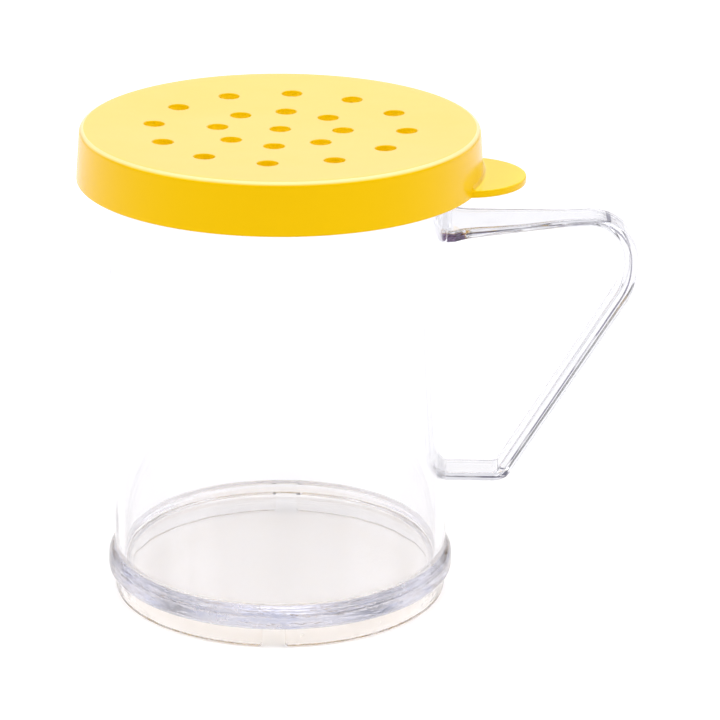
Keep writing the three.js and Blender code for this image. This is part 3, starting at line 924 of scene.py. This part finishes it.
def yellow_plastic():
    """Yellow plastic, with painted light: a painted sheen on its flat top, a paler painted highlight on the
    rounded edge round it, and the tab's upward face painted lighter.
    """
    material, graph, surface, place = new_material("yellow_plastic")
    facing = graph.axes(graph.add("ShaderNodeTexCoord", {}, "Normal"))["Z"]
    reach = graph.from_axis(place)
    top = graph.beyond(graph.axes(place)["Z"], *TOP_Z)
    cloud = graph.ranged(graph.noise(place, scale=45, detail=5), 0.3, 0.75)
    # Painted highlight on the rounded edge round the top.
    edge_highlight = graph.product(graph.ranged(facing, 0.45, 0.8), graph.beyond(reach, *EDGE_REACH), top)
    # Painted sheen on the upward-facing flat top.
    top_sheen = graph.product(graph.ranged(facing, 0.985, 0.996), top)
    # Painted light on the tab's upward-facing surface.
    tab = graph.product(graph.beyond(reach, *TAB_REACH), graph.ranged(facing, 0.7, 0.95))
    colour = graph.blended(cloud, *PLAIN_YELLOWS)
    for share, yellows in ((edge_highlight, EDGE_HIGHLIGHT_YELLOWS), (top_sheen, TOP_SHEEN_YELLOWS), (tab, TAB_TOP_LIGHT_YELLOWS)):
        colour = graph.mixed(share, colour, graph.blended(cloud, *yellows))
    satin = graph.noise(place, scale=400, detail=3)
    peel = graph.noise(place, scale=300, detail=1)
    graph.feed(surface, {
        "Base Color": colour,
        "IOR": YELLOW_IOR,
        "Specular Tint": YELLOW_GLOSS_TINT,
        "Roughness": graph.ranged(satin, 0.3, 0.7, 0.17, 0.22),
        "Normal": graph.bumped(peel, distance=0.0002, strength=0.02),
    })
    return material


def floor_paper():
    """The pale sheet of a light table: it has a soft, even light of its own."""
    material, graph, surface, place = new_material("floor_paper")
    graph.feed(surface, {
        "Base Color": graph.blended(graph.noise(place, scale=700, detail=3), *PAPER_TONES),
        "Roughness": 0.8,
        "Specular IOR Level": 0.2,
        "Emission Color": PAPER_GLOW_COLOUR,
        "Emission Strength": PAPER_GLOW,
    })
    return material


# Stage, light and camera

def make_floor():
    bm = bmesh.new()
    bmesh.ops.create_circle(bm, cap_ends=True, segments=96, radius=PAPER_RADIUS_M)
    mesh = bpy.data.meshes.new("floor")
    bm.to_mesh(mesh)
    bm.free()
    mesh.materials.append(floor_paper())
    floor = bpy.data.objects.new("floor", mesh)
    floor.location.z = -PAPER_DROP_M
    bpy.context.scene.collection.objects.link(floor)


def soft_box(graph, direction, azimuth, elevation, inner, outer, strength):
    """A round soft box. Azimuth 0 is behind the object and 180 beside the camera."""
    turn, rise = math.radians(azimuth), math.radians(elevation)
    aim = (math.cos(rise) * math.sin(turn), math.cos(rise) * math.cos(turn), math.sin(rise))
    nearness = graph.vector("DOT_PRODUCT", direction, aim, "Value")
    edges = math.cos(math.radians(outer)), math.cos(math.radians(inner))
    return graph.ranged(nearness, *edges, 0.0, strength, curve="SMOOTHSTEP")


def make_light():
    """An even pale sky with soft boxes, and a darker band low down all round except behind the object."""
    world = bpy.data.worlds.new("studio")
    world.use_nodes = True
    bpy.context.scene.world = world
    graph = Graph(world.node_tree)
    direction = graph.add("ShaderNodeTexCoord", {}, "Generated")
    axes = graph.axes(direction)
    light = soft_box(graph, direction, *SOFT_BOXES[0])
    for box in SOFT_BOXES[1:]:
        light = graph.combined("ADD", light, soft_box(graph, direction, *box))
    light = graph.combined("ADD", light, SKY)
    low, high, inner, outer = (math.radians(angle) for angle in DARK_BAND)
    down = graph.ranged(axes["Z"], math.sin(low), math.sin(high), 1.0, 0.0, curve="SMOOTHSTEP")
    aside = graph.ranged(axes["Y"], math.cos(outer), math.cos(inner), 1.0, 0.0, curve="SMOOTHSTEP")
    shade = graph.ranged(graph.product(down, aside), 0.0, 1.0, 1.0, BAND_LIGHT)
    graph.feed(graph.nodes["Background"].inputs, {
        "Color": SKY_COLOUR,
        "Strength": graph.product(light, shade),
    })


def make_camera():
    """The photograph's camera."""
    back = Vector((0, -math.cos(CAMERA_ELEVATION), math.sin(CAMERA_ELEVATION)))
    level = Vector((1, 0, 0))
    upright = back.cross(level)
    right = level * math.cos(CAMERA_ROLL) + upright * math.sin(CAMERA_ROLL)
    up = upright * math.cos(CAMERA_ROLL) - level * math.sin(CAMERA_ROLL)
    spin = Matrix.Rotation(CAMERA_TURN, 3, "Z")
    place = spin @ (Vector(CAMERA_TARGET) + back * CAMERA_DISTANCE) + Vector((AXIS_X, 0, 0))
    basis = Matrix([spin @ right, spin @ up, spin @ back]).transposed()
    data = bpy.data.cameras.new("camera")
    data.sensor_width = SENSOR_WIDTH
    data.lens = FOCAL_PIXELS / PHOTO_PIXELS * SENSOR_WIDTH
    data.clip_start = 0.01
    camera = bpy.data.objects.new("camera", data)
    bpy.context.scene.collection.objects.link(camera)
    camera.matrix_world = Matrix.Translation(place * MM) @ basis.to_4x4()
    bpy.context.scene.camera = camera


cup = make_cup(cup_plastic())
handle = make_handle(handle_plastic())
lid = make_lid(yellow_plastic())

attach(cup, "cup")
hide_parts("cup_body")
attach(handle, "cup")
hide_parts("handle")
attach(lid, "lid")
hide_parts("shaker_lid")

make_floor()
make_light()
make_camera()
bpy.context.scene.view_settings.view_transform = "Standard"
bpy.context.scene.cycles.blur_glossy = 0.0
bpy.context.scene.cycles.max_bounces = BOUNCES
bpy.context.scene.cycles.transmission_bounces = BOUNCES
bpy.context.scene.cycles.glossy_bounces = BOUNCES
